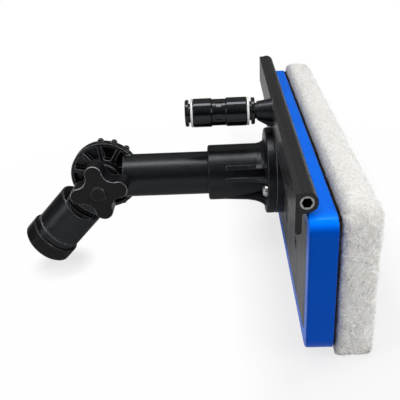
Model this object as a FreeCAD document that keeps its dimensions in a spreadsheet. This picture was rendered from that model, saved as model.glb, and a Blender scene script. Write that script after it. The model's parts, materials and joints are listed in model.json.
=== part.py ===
"""Water-fed window scrubber head for a pole.

A blue backing board carries a white scrub pad on a hook sheet. A dark plate is let into the board's back,
and on it sits a stepped base disc that clamps the foot of the water bar under a flanged pole socket. A tube
leads from that socket to an indexed angle joint with a star knob, and on to the socket for the pole. A
push-fit coupling on the bar's inlet takes the water hose.

The pieces are drawn in the tool's own frame: X towards the pad, Y along the board, Z up, with the origin in
the middle of the board's back face. The finished tool is then leaned until the pad's lower edge and the
pole collar both stand on the floor, and the origin moves to the floor under the middle of the tool.
"""
import FreeCAD, Part
import math
import os
import Sketcher

os.makedirs("parts", exist_ok=True)

V = FreeCAD.Vector
Turn = FreeCAD.Rotation
doc = FreeCAD.newDocument("window_scrubber")
sheet = doc.addObject("Spreadsheet::Sheet", "Sizes")

# Driving dimensions in millimetres, and angles in degrees.
SIZES = (
    # backing board, plate, hook sheet and pad
    ("board_len", 262.0),
    ("board_high", 75.0),
    ("board_thick", 13.5),
    ("board_round", 8.0),
    ("board_edge", 1.2),
    ("board_rim", 7.5),
    ("plate_thick", 2.0),
    ("plate_round", 6.0),
    ("plate_gap", 0.15),
    ("hook_thick", 1.5),
    ("hook_inset", 1.4),
    ("pad_len", 254.0),
    ("pad_high", 86.5),
    ("pad_thick", 20.4),
    ("pad_drop", 0.25),
    ("pad_round", 9.0),
    ("pad_front_edge", 7.0),
    ("pad_back_edge", 4.0),
    ("pad_low_edge", 2.6),
    ("pad_crown_front", 9.6),
    ("pad_crown_back", 6.0),
    # water bar
    ("bar_len", 252.0),
    ("bar_radius", 5.2),
    ("bar_bore", 3.35),
    ("bar_height", 44.6),
    ("foot_back", 5.8),
    ("foot_thick", 3.0),
    ("foot_low", 28.4),
    ("foot_top", 49.2),
    ("jet_radius", 0.8),
    ("jet_margin", 22.0),
    ("jet_rise", 35.0),
    ("plug_len", 8.0),
    ("plug_gap", 0.05),
    ("plug_hex", 2.65),
    ("plug_floor", 1.0),
    # base disc, flanged socket and their screws
    ("pole_height", 5.0),
    ("disc_radius", 28.0),
    ("tongue_half", 18.0),
    ("tongue_top", 38.6),
    ("flange_thick", 5.0),
    ("flange_edge", 0.8),
    ("socket_radius", 18.0),
    ("socket_end", 47.8),
    ("socket_floor", 12.0),
    ("rib_thick", 2.6),
    ("rib_reach", 24.2),
    ("rib_end", 36.0),
    ("pocket_floor", 15.7),
    ("pocket_end", 34.0),
    ("seam_wide", 0.9),
    ("seam_deep", 1.3),
    ("screw_ring", 22.85),
    ("screw_dip", 10.0),
    ("screw_radius", 2.4),
    ("screw_hole", 2.75),
    ("screw_head", 3.9),
    ("screw_head_high", 2.8),
    ("screw_bite", 9.0),
    ("plate_shank", 2.0),
    ("plate_head", 4.0),
    ("plate_head_high", 1.9),
    ("plate_bite", 9.0),
    ("small_radius", 1.5),
    ("small_head", 3.1),
    ("small_head_high", 1.6),
    ("small_bite", 8.0),
    ("small_gap", 0.1),
    # tube and the angle joint
    ("tube_radius", 14.0),
    ("tube_gap", 0.05),
    ("tube_bore", 11.4),
    ("tube_wall_end", 12.6),
    ("pivot_reach", 116.5),
    ("tube_stop", 13.8),
    ("wheel_radius", 22.9),
    ("wheel_thick", 6.0),
    ("tooth_radius", 2.1),
    ("tooth_sunk", 0.3),
    ("tooth_len", 2.6),
    ("window_inner", 11.4),
    ("window_outer", 20.9),
    ("window_deep", 4.6),
    ("window_rib", 2.6),
    ("half_gap", 0.5),
    ("hub_thick", 13.0),
    ("friction_gap", 0.3),
    ("friction_radius", 10.4),
    ("bolt_radius", 3.0),
    ("bolt_gap", 0.3),
    ("bolt_head", 5.77),
    ("bolt_head_high", 4.0),
    ("bolt_reach", 22.0),
    # lower socket and collar
    ("bend", 46.5),
    ("lower_radius", 15.9),
    ("lower_start", 25.9),
    ("lower_end", 66.5),
    ("lower_bore", 12.6),
    ("lower_floor", 32.0),
    ("lower_hub", 10.8),
    ("hub_disc", 4.5),
    ("boss_radius", 10.0),
    ("seat_reach", 28.0),
    ("seat_deep", 0.9),
    ("slot_inner", 22.6),
    ("slot_outer", 26.6),
    ("slot_deep", 4.2),
    ("sleeve_edge", 0.7),
    ("groove_at", 51.5),
    ("groove_wide", 0.8),
    ("groove_deep", 0.6),
    ("collar_radius", 17.4),
    ("collar_len", 11.0),
    ("collar_lip", 1.5),
    ("collar_mouth", 13.0),
    ("collar_edge", 1.2),
    # knob
    ("washer_radius", 8.5),
    ("washer_thick", 1.2),
    ("stack_gap", 0.1),
    ("knob_thick", 12.0),
    ("knob_lobe", 5.6),
    ("knob_lobe_ring", 13.0),
    ("knob_valley", 7.0),
    ("knob_edge", 1.3),
    ("knob_turned", 9.0),
    ("insert_radius", 5.0),
    ("insert_len", 8.4),
    ("cap_radius", 5.0),
    ("cap_high", 2.8),
    ("cap_sunk", 1.2),
    # water inlet and push-fit coupling
    ("inlet_height", 46.2),
    ("inlet_root", 7.4),
    ("inlet_neck", 5.9),
    ("inlet_end", 15.6),
    ("inlet_bore", 2.0),
    ("stub_radius", 2.4),
    ("stub_gap", 0.05),
    ("stub_depth", 2.0),
    ("seal_ring", 3.05),
    ("seal_radius", 0.55),
    ("seal_gap", 0.1),
    ("gusset_thick", 4.0),
    ("gusset_drop", 10.4),
    ("tail_radius", 5.0),
    ("tail_gap", 0.08),
    ("tail_end", 34.6),
    ("coupling_start", 17.0),
    ("coupling_len", 43.5),
    ("coupling_radius", 9.0),
    ("coupling_waist", 8.35),
    ("coupling_bore", 3.6),
    ("chamber_radius", 7.25),
    ("cap_ring_thick", 1.3),
    ("cap_spigot", 3.4),
    ("collet_travel", 1.2),
    ("collet_flange", 8.4),
    ("collet_flange_thick", 2.2),
    ("collet_stem", 5.95),
    ("collet_bore", 5.25),
    ("collet_len", 7.6),
    ("slide_gap", 0.25),
    ("o_ring", 0.9),
    ("half_len", 13.3),
    ("window_side", 3.6),
)

for row, (name, value) in enumerate(SIZES, start=1):
    sheet.set("A%d" % row, name)
    sheet.set("B%d" % row, str(value))
    sheet.setAlias("B%d" % row, name)
doc.recompute()


class Dim:
    """A size that knows its value and the sheet expression behind it."""

    def __init__(self, value, text):
        self.value = value
        self.text = text

    def __add__(self, other):
        return join(self, "+", other)

    def __radd__(self, other):
        return join(other, "+", self)

    def __sub__(self, other):
        return join(self, "-", other)

    def __rsub__(self, other):
        return join(other, "-", self)

    def __mul__(self, other):
        return join(self, "*", other)

    def __rmul__(self, other):
        return join(other, "*", self)

    def __truediv__(self, other):
        return join(self, "/", other)

    def __neg__(self):
        return join(0.0, "-", self)


def dim(size):
    """Turn a plain number into a Dim and leave a Dim as it is."""
    if isinstance(size, Dim):
        return size
    return Dim(float(size), "%.6f" % size)


def join(left, sign, right):
    """Combine two sizes into one."""
    left = dim(left)
    right = dim(right)
    values = {
        "+": left.value + right.value,
        "-": left.value - right.value,
        "*": left.value * right.value,
    }
    if sign == "/":
        values["/"] = left.value / right.value
    return Dim(values[sign], "(%s %s %s)" % (left.text, sign, right.text))


class Named:
    """The sheet's sizes, read back from its cells by name."""

    def __getattr__(self, name):
        return Dim(float(sheet.get(name)), "Sizes." + name)


s = Named()

ALONG = {
    "+X": Turn(V(0, 1, 0), 90),
    "-X": Turn(V(0, 1, 0), -90),
    "+Y": Turn(V(1, 0, 0), -90),
    "-Y": Turn(V(1, 0, 0), 90),
    "+Z": Turn(),
}
nodes = []


def bind(obj, **sizes):
    """Tie properties of an object to the sheet."""
    for prop, size in sizes.items():
        obj.setExpression(prop, dim(size).text)


def put(obj, at, turn=Turn()):
    """Place an object, with its position tied to the sheet."""
    obj.Placement = FreeCAD.Placement(V(*[dim(a).value for a in at]), turn)
    for axis, size in zip("xyz", at):
        obj.setExpression("Placement.Base." + axis, dim(size).text)
    return obj


def facing(along):
    """The turn for a direction's name; a turn is left as it is."""
    return ALONG[along] if isinstance(along, str) else along


def cylinder(radius, length, at, along="+Z"):
    obj = doc.addObject("Part::Cylinder", "Cylinder")
    bind(obj, Radius=radius, Height=length)
    return put(obj, at, facing(along))


def cone(radius_a, radius_b, length, at, along="+Z"):
    obj = doc.addObject("Part::Cone", "Cone")
    bind(obj, Radius1=radius_a, Radius2=radius_b, Height=length)
    return put(obj, at, facing(along))


def hexagon(corner, length, at, along="+Z"):
    obj = doc.addObject("Part::Prism", "Hexagon")
    obj.Polygon = 6
    bind(obj, Circumradius=corner, Height=length)
    return put(obj, at, facing(along))


def ring(major, minor, at, along="+Z"):
    obj = doc.addObject("Part::Torus", "Ring")
    bind(obj, Radius1=major, Radius2=minor)
    return put(obj, at, facing(along))


def box(low, high, turn=Turn()):
    """A box between two corners."""
    obj = doc.addObject("Part::Box", "Box")
    bind(obj, Length=high[0] - low[0], Width=high[1] - low[1], Height=high[2] - low[2])
    return put(obj, low, turn)


def fuse(*parts):
    obj = doc.addObject("Part::MultiFuse", "Fuse")
    obj.Shapes = list(parts)
    obj.Refine = True
    return obj


def cut(base, *tools):
    obj = doc.addObject("Part::Cut", "Cut")
    obj.Base = base
    obj.Tool = tools[0] if len(tools) == 1 else fuse(*tools)
    obj.Refine = True
    return obj


def common(one, other):
    obj = doc.addObject("Part::Common", "Common")
    obj.Base = one
    obj.Tool = other
    return obj


def group(*parts):
    obj = doc.addObject("Part::Compound", "Group")
    obj.Links = list(parts)
    return obj


def node(obj, label):
    """Name a finished sub-part."""
    obj.Label = label
    nodes.append(obj)
    return obj


def outline(body, plane, points):
    """A closed polygon sketch whose corners are tied to the sheet."""
    sketch = body.newObject("Sketcher::SketchObject", "Outline")
    support = [item for item in body.Origin.OriginFeatures if item.Role == plane]
    sketch.AttachmentSupport = [(support[0], "")]
    sketch.MapMode = "FlatFace"
    corners = [(dim(x), dim(y)) for x, y in points]
    count = len(corners)
    for i in range(count):
        x, y = corners[i]
        next_x, next_y = corners[(i + 1) % count]
        start = V(x.value, y.value, 0)
        end = V(next_x.value, next_y.value, 0)
        sketch.addGeometry(Part.LineSegment(start, end), False)
    for i in range(count):
        sketch.addConstraint(Sketcher.Constraint("Coincident", i, 2, (i + 1) % count, 1))
    for i, (x, y) in enumerate(corners):
        for kind, size in (("DistanceX", x), ("DistanceY", y)):
            index = sketch.addConstraint(Sketcher.Constraint(kind, -1, 1, i, 1, size.value))
            sketch.setExpression("Constraints[%d]" % index, size.text)
    return sketch


def extruded(plane, points, length, midplane=False):
    """A body padded from a polygon."""
    body = doc.addObject("PartDesign::Body", "Body")
    pad = body.newObject("PartDesign::Pad", "Pad")
    pad.Profile = outline(body, plane, points)
    bind(pad, Length=length)
    pad.Midplane = midplane
    doc.recompute()
    return body


def turned(points):
    """A body turned about X from (axial, radial) corners; axial grows away from the board."""
    body = doc.addObject("PartDesign::Body", "Body")
    profile = outline(body, "XZ_Plane", [(-dim(a), r) for a, r in points])
    revolution = body.newObject("PartDesign::Revolution", "Revolution")
    revolution.Profile = profile
    revolution.ReferenceAxis = (profile, ["H_Axis"])
    revolution.Angle = 360
    doc.recompute()
    return body


def edge_names(shape, test):
    """Names of the edges whose middle point and direction pass a test."""
    names = []
    for number, edge in enumerate(shape.Edges, start=1):
        middle = edge.valueAt((edge.FirstParameter + edge.LastParameter) / 2)
        along = edge.tangentAt((edge.FirstParameter + edge.LastParameter) / 2)
        if test(middle, along):
            names.append("Edge%d" % number)
    return names


def rounded(body, radius, test):
    """Round the edges of a body's last shape that pass a test."""
    last = body.Tip
    fillet = body.newObject("PartDesign::Fillet", "Fillet")
    fillet.Base = (last, edge_names(last.Shape, test))
    bind(fillet, Radius=radius)
    body.Tip = fillet
    doc.recompute()


def rectangle(length, height, middle=0.0):
    """Corners of a rectangle in the board's plane, along Y and Z."""
    y = dim(length) / 2
    z = dim(height) / 2
    return [(-y, middle - z), (y, middle - z), (y, middle + z), (-y, middle + z)]


def runs_along_x(middle, along):
    return abs(along.x) > 0.9


def lies_at(x):
    """A test for edges in the plane at x."""
    return lambda middle, along: abs(middle.x - x) < 0.01 and abs(along.x) < 0.1


PLATE_SPOTS = [(-83.0, -1.0), (83.0, -1.0), (-38.0, -10.0), (38.0, -10.0)]
BAR_SPOTS = [(-12.0, 35.5), (12.0, 35.5)]
screw_side = s.screw_ring * math.cos(math.radians(s.screw_dip.value))
screw_low = s.pole_height - s.screw_ring * math.sin(math.radians(s.screw_dip.value))
flange_spots = [(-screw_side, screw_low), (screw_side, screw_low)]
foot_face = s.foot_back - s.foot_thick
flange_back = s.foot_back + s.flange_thick

# Backing board: a rounded slab with a shallow pocket for the plate in its back.
board = extruded("YZ_Plane", rectangle(s.board_len, s.board_high), s.board_thick)
rounded(board, s.board_round, runs_along_x)
rounded(board, s.board_edge, lies_at(0.0))
plate_len = s.board_len - 2 * s.board_rim
plate_high = s.board_high - 2 * s.board_rim
solid_volume = board.Shape.Volume
pocket = board.newObject("PartDesign::Pocket", "PlatePocket")
pocket.Profile = outline(board, "YZ_Plane", rectangle(plate_len, plate_high))
bind(pocket, Length=s.plate_thick)
pocket.Reversed = True
board.Tip = pocket
doc.recompute()
assert board.Shape.Volume < solid_volume
plate_edge = dim(plate_len).value / 2
rounded(board, s.plate_round, lambda m, d: abs(d.x) > 0.9 and abs(abs(m.y) - plate_edge) < 0.01)
pilots = []
for y, z in flange_spots:
    pilots.append(cylinder(s.screw_radius + s.small_gap, s.screw_bite + 1, (0, y, z), "+X"))
for y, z in PLATE_SPOTS:
    pilots.append(cylinder(s.plate_shank + s.small_gap, s.plate_bite + 1, (0, y, z), "+X"))
node(cut(board, *pilots), "backing_board")

# Plate, flush with the board's back, with countersunk holes.
plate = extruded("YZ_Plane", rectangle(plate_len - 2 * s.plate_gap, plate_high - 2 * s.plate_gap), s.plate_thick)
rounded(plate, s.plate_round - s.plate_gap, runs_along_x)
holes = []
for y, z in flange_spots:
    holes.append(cylinder(s.screw_hole, s.plate_thick + 2, (-1, y, z), "+X"))
for y, z in PLATE_SPOTS:
    holes.append(cylinder(s.plate_shank + s.small_gap, s.plate_thick + 2, (-1, y, z), "+X"))
    holes.append(cone(s.plate_head + s.small_gap, s.plate_shank + s.small_gap, s.plate_head_high, (0, y, z), "+X"))
node(cut(plate, *holes), "back_plate")


def sunk_screw(at, head, high, shank, bite):
    """A countersunk screw whose head is flush at a point, with a hexagon socket."""
    top = cone(head, shank, high, at, "+X")
    stem = cylinder(shank, bite, at, "+X")
    socket = hexagon(shank * 0.8, high * 0.8, at, "+X")
    return cut(fuse(top, stem), socket)


plate_screws = []
for y, z in PLATE_SPOTS:
    plate_screws.append(sunk_screw((0.0, y, z), s.plate_head, s.plate_head_high, s.plate_shank, s.plate_bite))
node(group(*plate_screws), "plate_screws")

# Hook sheet on the board's front, and the soft pad that it holds.
hook = extruded("YZ_Plane", rectangle(s.pad_len - 2 * s.hook_inset, s.board_high - 2 * s.hook_inset), s.hook_thick)
hook.Placement.Base = V(s.board_thick.value, 0, 0)
node(hook, "hook_sheet")
pad_back = s.board_thick + s.hook_thick
pad_top = s.pad_high / 2 - s.pad_drop
pad_low = -s.pad_high / 2 - s.pad_drop
pad_end = s.pad_len / 2
pad_front = s.pad_thick.value / 2
# The pad is what three rounded slabs share: its face, its end view and its plan. Its top is
# crowned and its lower edges stay sharper.
pad_face = extruded("YZ_Plane", rectangle(s.pad_len, s.pad_high, -s.pad_drop), s.pad_thick)
rounded(pad_face, s.pad_round, lambda m, d: abs(d.x) > 0.9 and m.z > 0)
rounded(pad_face, s.pad_low_edge, lambda m, d: abs(d.x) > 0.9 and m.z < 0)
end_view = [(0.0, pad_low), (s.pad_thick, pad_low), (s.pad_thick, pad_top), (0.0, pad_top)]
pad_side = extruded("XZ_Plane", end_view, s.pad_len + 2, midplane=True)
rounded(pad_side, s.pad_crown_front, lambda m, d: abs(d.y) > 0.9 and m.z > 0 and m.x > pad_front)
rounded(pad_side, s.pad_crown_back, lambda m, d: abs(d.y) > 0.9 and m.z > 0 and m.x < pad_front)
rounded(pad_side, s.pad_low_edge, lambda m, d: abs(d.y) > 0.9 and m.z < 0)
plan = [(0.0, -pad_end), (s.pad_thick, -pad_end), (s.pad_thick, pad_end), (0.0, pad_end)]
pad_plan = extruded("XY_Plane", plan, s.pad_high + 2, midplane=True)
rounded(pad_plan, s.pad_front_edge, lambda m, d: abs(d.z) > 0.9 and m.x > pad_front)
rounded(pad_plan, s.pad_back_edge, lambda m, d: abs(d.z) > 0.9 and m.x < pad_front)
node(put(common(common(pad_face, pad_side), pad_plan), (pad_back, 0, 0)), "scrub_pad")

# Water bar: a round tube with a flat foot, drawn out along Y.
bar_x = s.bar_radius - s.foot_back
bar_start = -s.bar_len / 2
tube = cylinder(s.bar_radius, s.bar_len, (bar_x, bar_start, s.bar_height), "+Y")
toe = s.foot_thick / 2
foot = box((-s.foot_back, bar_start, s.foot_low + toe), (-foot_face, s.bar_len / 2, s.foot_top))
foot_end = cylinder(toe, s.bar_len, (toe - s.foot_back, bar_start, s.foot_low + toe), "+Y")
web = extruded("XZ_Plane", [
    (-s.foot_back, s.bar_height),
    (-s.foot_back, s.bar_height - s.bar_radius * 1.1),
    (-foot_face, s.bar_height - s.bar_radius * 1.1),
    (-foot_face + 1.0, s.bar_height - s.bar_radius * 1.04),
    (bar_x + s.bar_radius * 0.35, s.bar_height - s.bar_radius * 0.93),
    (bar_x + s.bar_radius * 0.35, s.bar_height),
], s.bar_len, midplane=True)
bar_cuts = [cylinder(s.bar_bore, s.bar_len + 2, (bar_x, bar_start - 1, s.bar_height), "+Y")]
jet_pitch = (s.bar_len - 2 * s.jet_margin) / 8
for count in range(-4, 5):
    rise = Turn(V(0, 1, 0), 90 - s.jet_rise.value)
    bar_cuts.append(cylinder(s.jet_radius, s.bar_radius + 2, (bar_x, jet_pitch * count, s.bar_height), rise))
stub_bore = s.stub_radius + s.stub_gap
bar_cuts.append(cylinder(stub_bore, s.foot_back, (-s.foot_back - 1, 0, s.inlet_height), "+X"))
for y, z in BAR_SPOTS:
    bar_cuts.append(cylinder(s.small_radius + s.small_gap, s.foot_thick + 2, (-s.foot_back - 1, y, z), "+X"))
    sink = (-s.foot_back, y, z)
    bar_cuts.append(cone(s.small_head + s.small_gap, s.small_radius + s.small_gap, s.small_head_high, sink, "+X"))
node(cut(fuse(tube, foot, foot_end, web), *bar_cuts), "water_bar")

# Screw plugs in the ends of the bar's bore, each with a hexagon socket.
plugs = []
for side, along in ((-1, "+Y"), (1, "-Y")):
    mouth = (bar_x, side * s.bar_len / 2, s.bar_height)
    slug = cylinder(s.bar_bore - s.plug_gap, s.plug_len, mouth, along)
    plugs.append(cut(slug, hexagon(s.plug_hex, s.plug_len - s.plug_floor, mouth, along)))
node(group(*plugs), "bar_plugs")
bar_screws = []
for y, z in BAR_SPOTS:
    sink = (-s.foot_back, y, z)
    bar_screws.append(sunk_screw(sink, s.small_head, s.small_head_high, s.small_radius, s.small_bite))

# Base disc with a tongue behind the bar's foot and a step that takes the foot's thickness.
disc = cylinder(s.disc_radius, s.foot_back, (0, 0, s.pole_height), "-X")
tongue = box((-foot_face, -s.tongue_half, s.pole_height), (0.0, s.tongue_half, s.tongue_top))
step = box((-s.foot_back - 1, -s.board_len / 4, s.foot_low), (-foot_face, s.board_len / 4, s.foot_top))
seam = cut(
    cylinder(s.disc_radius + 1, s.seam_wide, (s.seam_wide - s.foot_back, 0, s.pole_height), "-X"),
    cylinder(s.disc_radius - s.seam_deep, s.seam_wide + 2, (s.seam_wide + 1 - s.foot_back, 0, s.pole_height), "-X"),
)
base_cuts = [step, seam]
for y, z in flange_spots:
    base_cuts.append(cylinder(s.screw_hole, s.foot_back + 2, (1, y, z), "-X"))
for y, z in BAR_SPOTS:
    base_cuts.append(cylinder(s.small_radius + s.small_gap, s.foot_back + 2, (1, y, z), "-X"))
node(cut(fuse(disc, tongue), *base_cuts), "base_disc")

# The bar's screws stop short of the board's back.
screw_end = box((0.0 - s.plug_gap, -s.board_len, 0.0), (s.board_thick, s.board_len, s.board_high))
node(cut(group(*bar_screws), screw_end), "bar_screws")

# Flanged socket: a flared root, three hollow-backed ribs on each side and pockets between them.
socket_bore = s.tube_radius + s.tube_gap
socket = turned([
    (s.foot_back, 0.0),
    (s.foot_back, s.disc_radius),
    (flange_back - s.flange_edge, s.disc_radius),
    (flange_back, s.disc_radius - s.flange_edge),
    (flange_back, s.socket_radius + 3.2),
    (flange_back + 1.2, s.socket_radius + 1.8),
    (flange_back + 3.0, s.socket_radius + 0.7),
    (flange_back + 5.4, s.socket_radius + 0.15),
    (s.socket_end - s.flange_edge, s.socket_radius),
    (s.socket_end, s.socket_radius - s.flange_edge),
    (s.socket_end, socket_bore),
    (s.socket_floor, socket_bore),
    (s.socket_floor, 0.0),
])
put(socket, (0, 0, s.pole_height))
RIB_ANGLES = (31.0, 6.0, -52.0)
POCKET_ANGLES = ((10.5, 26.5), (-47.5, 1.5))


def swung(rise, side):
    """The turn about the pole's axis from straight up to an angle above the horizontal on one side."""
    return Turn(V(1, 0, 0), side * (90.0 - rise))


ribs = []
hollows = []
for side in (1, -1):
    for rise in RIB_ANGLES:
        rib = extruded("XZ_Plane", [
            (-flange_back + 0.5, s.socket_radius - 1.5),
            (-flange_back + 0.5, s.rib_reach),
            (-flange_back - 1.0, s.rib_reach - 1.2),
            (-flange_back - 3.0, s.rib_reach - 2.8),
            (-flange_back - 6.5, s.rib_reach - 4.3),
            (-flange_back - 12.0, s.socket_radius + 0.9),
            (-s.rib_end, s.socket_radius + 0.2),
            (-s.rib_end, s.socket_radius - 1.5),
        ], s.rib_thick, midplane=True)
        ribs.append(put(rib, (0, 0, s.pole_height), swung(rise, side)))
    for low, high in POCKET_ANGLES:
        reach = 2 * s.disc_radius
        corners = [(0.0, 0.0)]
        for rise in (low, high):
            angle = math.radians(rise)
            corners.append((-side * reach * math.cos(angle), reach * math.sin(angle)))
        sector = extruded("YZ_Plane", corners if side < 0 else corners[::-1], s.pocket_end - flange_back)
        put(sector, (-s.pocket_end, 0, s.pole_height))
        depth = s.pocket_end - flange_back
        around = cut(
            cylinder(s.disc_radius + 2, depth, (-flange_back, 0, s.pole_height), "-X"),
            cone(s.pocket_floor, s.socket_radius + 0.3, depth, (-flange_back, 0, s.pole_height), "-X"),
        )
        hollows.append(common(sector, around))
flange_holes = [cylinder(s.screw_hole, s.flange_thick + 4, (1 - s.foot_back, y, z), "-X") for y, z in flange_spots]
node(cut(fuse(socket, *ribs), *hollows, *flange_holes), "head_socket")


def flange_screw(y, z):
    """A pan-head screw through flange, base and plate into the board."""
    seat = (-flange_back, y, z)
    head = cylinder(s.screw_head, s.screw_head_high * 0.5, seat, "-X")
    dome_seat = (-flange_back - s.screw_head_high * 0.5, y, z)
    dome = cone(s.screw_head, s.screw_head * 0.72, s.screw_head_high * 0.5, dome_seat, "-X")
    shank = cylinder(s.screw_radius, flange_back + s.screw_bite, seat, "+X")
    top = -flange_back - s.screw_head_high
    deep = top + s.screw_head_high * 0.6
    arm = s.screw_head * 0.55
    slot_a = box((top - 1, y - arm, z - 0.6), (deep, y + arm, z + 0.6))
    slot_b = box((top - 1, y - 0.6, z - arm), (deep, y + 0.6, z + arm))
    return cut(fuse(head, dome, shank), slot_a, slot_b)


node(group(*[flange_screw(y, z) for y, z in flange_spots]), "flange_screws")

# Tube with the index wheel: teeth on the side towards the head and deep windows between radial ribs.
px = -s.pivot_reach
pz = s.pole_height
full = cylinder(s.tube_radius, s.pivot_reach - s.tube_stop - s.socket_floor, (-s.socket_floor, 0, pz), "-X")
reach = cylinder(s.tube_radius, s.tube_stop + 1, (px + s.tube_stop + 1, 0, pz), "-X")
far_side = box((px, s.half_gap, pz - s.tube_radius), (px + s.tube_stop + 1, s.tube_radius, pz + s.tube_radius))
wheel = cylinder(s.wheel_radius, s.wheel_thick, (px, s.half_gap, pz), "+Y")
far_hub = cylinder(s.tube_radius, s.hub_thick, (px, s.half_gap, pz), "+Y")
teeth = []
tooth_ring = s.wheel_radius - s.tooth_sunk
for count in range(-5, 5):
    angle = math.radians(22.5 * count + 3.0)
    tooth_x = px + tooth_ring * math.cos(angle)
    tooth_z = pz + tooth_ring * math.sin(angle)
    tooth_y = s.half_gap + s.wheel_thick - s.tooth_len
    teeth.append(cylinder(s.tooth_radius, s.tooth_len, (tooth_x, tooth_y, tooth_z), "+Y"))
solid = fuse(full, common(reach, far_side), wheel, far_hub, *teeth)
window_from = s.half_gap - 1
annulus = cut(
    cylinder(s.window_outer, s.window_deep + 1, (px, window_from, pz), "+Y"),
    cylinder(s.window_inner, s.window_deep + 3, (px, window_from - 1, pz), "+Y"),
)
spokes = []
for count in range(5):
    angle = 36.0 * count + 23.0
    spoke = doc.addObject("Part::Box", "Spoke")
    bind(spoke, Length=s.window_outer * 2 + 4, Width=s.window_deep + 3, Height=s.window_rib)
    swing = Turn(V(0, 1, 0), -angle)
    low = swing.multVec(V(-s.window_outer.value - 2, 0, -s.window_rib.value / 2))
    put(spoke, (px + low.x, window_from - 1, pz + low.z), swing)
    spokes.append(spoke)
beside_tube = cylinder(s.tube_radius, s.window_outer + 2 - s.tube_stop, (px + s.window_outer + 2, 0, pz), "-X")
windows = cut(annulus, beside_tube, *spokes)
tube_hole_end = s.pivot_reach - s.tube_stop - s.socket_floor - s.tube_wall_end
inside = cylinder(s.tube_bore, tube_hole_end + 1, (1 - s.socket_floor, 0, pz), "-X")
bolt_hole = cylinder(s.bolt_radius + s.tube_gap, s.hub_thick + 4, (px, s.half_gap - 2, pz), "+Y")
hub_end = s.half_gap + s.hub_thick
head_pocket = hexagon(s.bolt_head + 2 * s.tube_gap, s.bolt_head_high + 2, (px, hub_end - s.bolt_head_high, pz), "+Y")
node(cut(solid, windows, inside, bolt_hole, head_pocket), "spigot_tube")

# Friction disc on the wheel's face, and the bolt that clamps the joint.
friction = cut(
    cylinder(s.friction_radius, 2 * s.half_gap - s.friction_gap, (px, s.half_gap, pz), "-Y"),
    cylinder(s.bolt_radius + s.bolt_gap, 4 * s.half_gap, (px, 2 * s.half_gap, pz), "-Y"),
)
node(friction, "friction_disc")
bolt = fuse(
    cylinder(s.bolt_radius, hub_end - s.bolt_head_high / 2 + s.bolt_reach, (px, hub_end - s.bolt_head_high / 2, pz), "-Y"),
    hexagon(s.bolt_head, s.bolt_head_high, (px, hub_end - s.bolt_head_high, pz), "+Y"),
)
node(bolt, "joint_bolt")

# Lower socket, drawn straight along -X from the pivot and then swung down by the bend.
bend_place = FreeCAD.Placement(V(px.value, 0, pz.value), Turn(V(0, 1, 0), -s.bend.value))
face = s.half_gap + s.hub_thick
sleeve = turned([
    (s.lower_start, 0.0),
    (s.lower_start, s.lower_radius - s.sleeve_edge),
    (s.lower_start + s.sleeve_edge, s.lower_radius),
    (s.lower_end, s.lower_radius),
    (s.lower_end, 0.0),
])
arm = box((-s.lower_start - 1, -face, -s.boss_radius), (0.0, -s.half_gap, s.boss_radius))
arm_round = cylinder(s.lower_radius + 0.6, s.lower_start + 1, (0, 0, 0), "-X")
hub = cylinder(s.lower_hub, s.hub_disc, (0, -s.half_gap, 0), "-Y")
boss = cylinder(s.boss_radius, s.hub_thick, (0, -s.half_gap, 0), "-Y")
# A round seat for the knob and a curved slot inside it, both about the pivot.
seat = cut(
    cylinder(s.seat_reach, s.seat_deep + 4, (0, s.seat_deep - face, 0), "-Y"),
    cylinder(s.boss_radius, s.seat_deep + 6, (0, s.seat_deep - face + 1, 0), "-Y"),
)
slot = cut(
    cylinder(s.slot_outer, s.slot_deep + 4, (0, s.slot_deep - face, 0), "-Y"),
    cylinder(s.slot_inner, s.slot_deep + 6, (0, s.slot_deep - face + 1, 0), "-Y"),
)
bore = cylinder(s.lower_bore, s.lower_end, (-s.lower_floor, 0, 0), "-X")
pin_hole = cylinder(s.bolt_radius + s.bolt_gap, s.hub_thick + 4, (0, 1, 0), "-Y")
line = cut(
    cylinder(s.lower_radius + 1, s.groove_wide, (-s.groove_at, 0, 0), "-X"),
    cylinder(s.lower_radius - s.groove_deep, s.groove_wide + 2, (1 - s.groove_at, 0, 0), "-X"),
)
lower = cut(fuse(sleeve, common(arm, arm_round), hub, boss), seat, slot, bore, pin_hole, line)
node(lower, "pole_socket").Placement = bend_place

# Collar on the socket's mouth, with a lip over its end.
collar_bore = s.lower_radius + s.tube_gap
collar_end = s.lower_end + s.collar_lip
collar = turned([
    (collar_end - s.collar_len, collar_bore),
    (collar_end - s.collar_len, s.collar_radius - 0.5),
    (collar_end - s.collar_len + 0.5, s.collar_radius),
    (collar_end - s.collar_edge, s.collar_radius),
    (collar_end, s.collar_radius - s.collar_edge),
    (collar_end, s.collar_mouth),
    (s.lower_end, s.collar_mouth),
    (s.lower_end, collar_bore),
])
node(collar, "pole_collar").Placement = bend_place

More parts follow.
